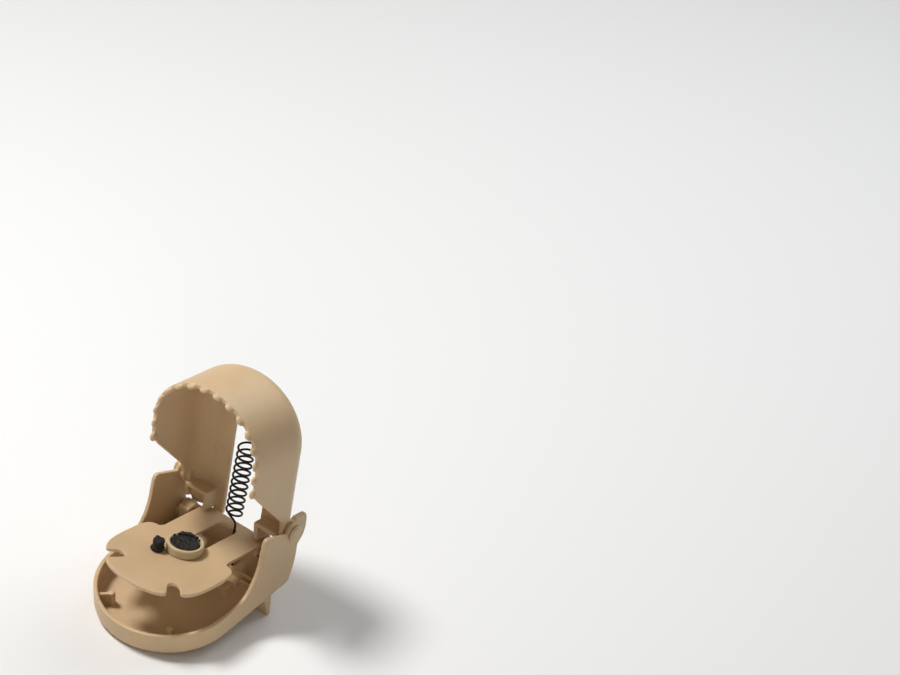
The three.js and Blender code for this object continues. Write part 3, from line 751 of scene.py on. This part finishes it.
def spring_path():
    pts = []
    add = lambda x, q, p: pts.append((x, q, p))
    world = lambda x, y, z: add(x, *to_jaw(y, z))
    r = 0.8 + GAP + WIRE_R + 0.05
    world(7.2, -10.75, -17.3)
    world(7.15, -10.75, -18.4)
    world(6.75, -10.7, -19.2)
    world(5.6, -10.55, -19.6)
    world(4.2, -10.4, -19.65)
    world(3.1, -9.95, -19.65)
    world(2.45, -9.1, -19.62)
    for i in range(5):
        t = math.radians(-105 + 105 * i / 4)
        world(2.3, ANCHOR[0] + r * math.cos(t), ANCHOR[1] + r * math.sin(t))
    world(2.3, -5.6, -15.6)
    add(2.3, -1.4, -11.4)
    add(2.3, -1.4, -9.2)
    add(2.15, -1.4, -8.0)
    add(1.2, -1.2, -7.3)
    n = round(COIL_TURNS * 12)
    for i in range(n + 1):
        a = 2 * math.pi * (COIL_TURNS * (i / n) - COIL_TURNS)
        grow = min(1, 0.8 + i / 15)
        add(COIL_R * grow * math.sin(a), COIL_Q + COIL_R * grow * math.cos(a), COIL_LOW_P + (COIL_TOP_P - COIL_LOW_P) * i / n)
    h = 0.65 + GAP + WIRE_R + 0.02
    add(0.75, 2.2, 21.75)
    add(0.55, 1.4, 22.4)
    add(0.1, PEG[0] - h, PEG[1] - 0.7)
    for i in range(6):
        t = math.radians(180 - 205 * i / 5)
        add(0, PEG[0] + h * math.cos(t), PEG[1] + h * math.sin(t))
    return pts


def sweep(points, r, sides=14):
    p = np.array(points, float)
    t = np.gradient(p, axis=0)
    t /= np.linalg.norm(t, axis=1)[:, None]
    u = np.cross(t[0], [0, 0, 1.0])
    if np.linalg.norm(u) < 1e-3:
        u = np.cross(t[0], [1.0, 0, 0])
    u /= np.linalg.norm(u)
    rings = []
    ends = [(0.0, 0.55), (0.0, 0.85)]
    frames = []
    for i in range(len(p)):
        if i:
            u = u - t[i] * np.dot(u, t[i])
            u /= np.linalg.norm(u)
        frames.append((p[i], t[i], u.copy(), np.cross(t[i], u)))
    def ring(c, a, b, rr):
        return [tuple(c + rr * (math.cos(2 * math.pi * k / sides) * a + math.sin(2 * math.pi * k / sides) * b)) for k in range(sides)]
    c, d, a, b = frames[0]
    rings.append(ring(c - d * r * 0.35, a, b, r * 0.6))
    rings.append(ring(c - d * r * 0.22, a, b, r * 0.88))
    for c, d, a, b in frames:
        rings.append(ring(c, a, b, r))
    c, d, a, b = frames[-1]
    rings.append(ring(c + d * r * 0.22, a, b, r * 0.88))
    rings.append(ring(c + d * r * 0.35, a, b, r * 0.6))
    return loft(rings)


def build_spring():
    return sweep(spline(spring_path(), 5), WIRE_R)


# ------------------------------------------------------------------ the pieces
place(build_tray(), "tray_moulding", M_TRAY, "base", ["base_tray"], TAN)
place(build_jaw(), "jaw_moulding", M_JAW, "jaw", ["jaw_shell"], TAN)
place(build_pedal(), "pedal_moulding", M_JAW, "trigger", ["trigger_plate"], TAN)

cup_at = M_JAW @ Matrix.Translation((0, CUP_Q, PEDAL_TOP_P + 0.05))
place(build_cup(), "bait_cup_ring", cup_at, "trigger", ["bait_cup"], CREAM)
place(build_fill(), "bait_paste", cup_at, "trigger", ["bait_fill"], BAIT)
lump_at = M_JAW @ Matrix.Translation((-5.4, -32.2, PEDAL_TOP_P + 0.05))
place(build_lump(), "bait_pellet", lump_at, "trigger", ["bait_lump"], LUMP)

for side, s in (("left", -1), ("right", 1)):
    pin = hinge_pin()
    if s < 0:
        pin.data.transform(Matrix.Rotation(math.pi, 4, "Z"))
    place(pin, "pivot_head_" + side, M_JAW, "jaw", ["hinge_pin_" + side], PIN)
    x0, x1 = (12.6, 18.6) if s > 0 else (-18.6, -12.6)
    place(plain_pin(1.1, x0, x1, PIVOT_Y, PIVOT_Z), "pedal_pivot_" + side, M_TRAY, "trigger", ["trigger_pin_" + side], PIN)
place(plain_pin(0.65, -2.2, 2.2, PEG[0], PEG[1]), "upper_spring_peg", M_JAW, "jaw", ["jaw_spring_peg"], PIN)
place(plain_pin(0.8, -0.9, 4.9, ANCHOR[0], ANCHOR[1]), "lower_spring_pin", M_TRAY, "base", ["spring_anchor_pin"], PIN)

spring = place(build_spring(), "coil_spring", M_JAW, "spring", ["tension_spring"], WIRE)
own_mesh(spring)

# ------------------------------------------------------------------ floor, light, camera
floor_mat, nt, bsdf = new_material("pale_floor")
bsdf.inputs["Base Color"].default_value = (0.86, 0.86, 0.86, 1)
bsdf.inputs["Roughness"].default_value = 0.75
bpy.ops.mesh.primitive_plane_add(size=8.0, location=(0, 0, CAD_LO[2] - 0.00002))
floor = bpy.context.object
floor.name = "floor"
floor.data.materials.append(floor_mat)

scene = bpy.context.scene
world = bpy.data.worlds.new("studio")
scene.world = world
world.use_nodes = True
world.node_tree.nodes["Background"].inputs["Color"].default_value = (1.0, 0.95, 0.88, 1)
world.node_tree.nodes["Background"].inputs["Strength"].default_value = 0.20


def area(name, location, target, size, power, color=(1, 1, 1)):
    light = bpy.data.lights.new(name, "AREA")
    light.shape, light.size, light.energy, light.color = "DISK", size, power, color
    o = bpy.data.objects.new(name, light)
    scene.collection.objects.link(o)
    o.location = location
    o.rotation_mode = "QUATERNION"
    o.rotation_quaternion = (Vector(target) - Vector(location)).to_track_quat("-Z", "Y")
    return o


mid = (0, 0, 0.04)
area("key", (-0.42, -0.16, 0.80), mid, 0.24, 6.6, (1.0, 0.992, 0.975))
area("side", (0.50, -0.72, 0.38), mid, 0.4, 0.85, (1.0, 0.96, 0.90))
area("rim", (0.05, 0.62, 0.62), mid, 0.6, 2.2, (0.90, 0.95, 1.0))

AZ, EL, DIST, PX_MM = 40.75, 43.37, 0.91612, 2.96
HINGE_PX = (236.94, 499.31)
cam_data = bpy.data.cameras.new("camera")
cam = bpy.data.objects.new("camera", cam_data)
scene.collection.objects.link(cam)
cam_data.sensor_width = 36.0
cam_data.lens = PX_MM * DIST * 1000 / 900 * 36.0
a, e = math.radians(AZ), math.radians(EL)
back = Vector((math.sin(a) * math.cos(e), -math.cos(a) * math.cos(e), math.sin(e)))
right = Vector((math.cos(a), math.sin(a), 0))
up = back.cross(right)
tilt = Matrix.Rotation(math.radians(STAND_TILT), 3, "X")
back, right, up = tilt @ back, tilt @ right, tilt @ up
cam.location = HINGE + back * DIST
# the camera turns a little so that the hinge lands where it does in the 900 x 675 frame
fpx = PX_MM * DIST * 1000
ray = Vector(((HINGE_PX[0] - 450) / fpx, (337.5 - HINGE_PX[1]) / fpx, -1)).normalized()
basis = Matrix((right, up, back)).transposed()
aim = Vector((0, 0, -1)).rotation_difference(ray).to_matrix()  # camera space: centre to the hinge's place
cam.rotation_mode = "QUATERNION"
cam.rotation_quaternion = (basis @ aim.inverted()).to_quaternion()
cam_data.clip_start, cam_data.clip_end = 0.01, 50
cam_data.dof.use_dof = False
scene.camera = cam
scene.view_settings.view_transform = "Standard"
scene.view_settings.look = "None"
scene.view_settings.exposure = 0.0
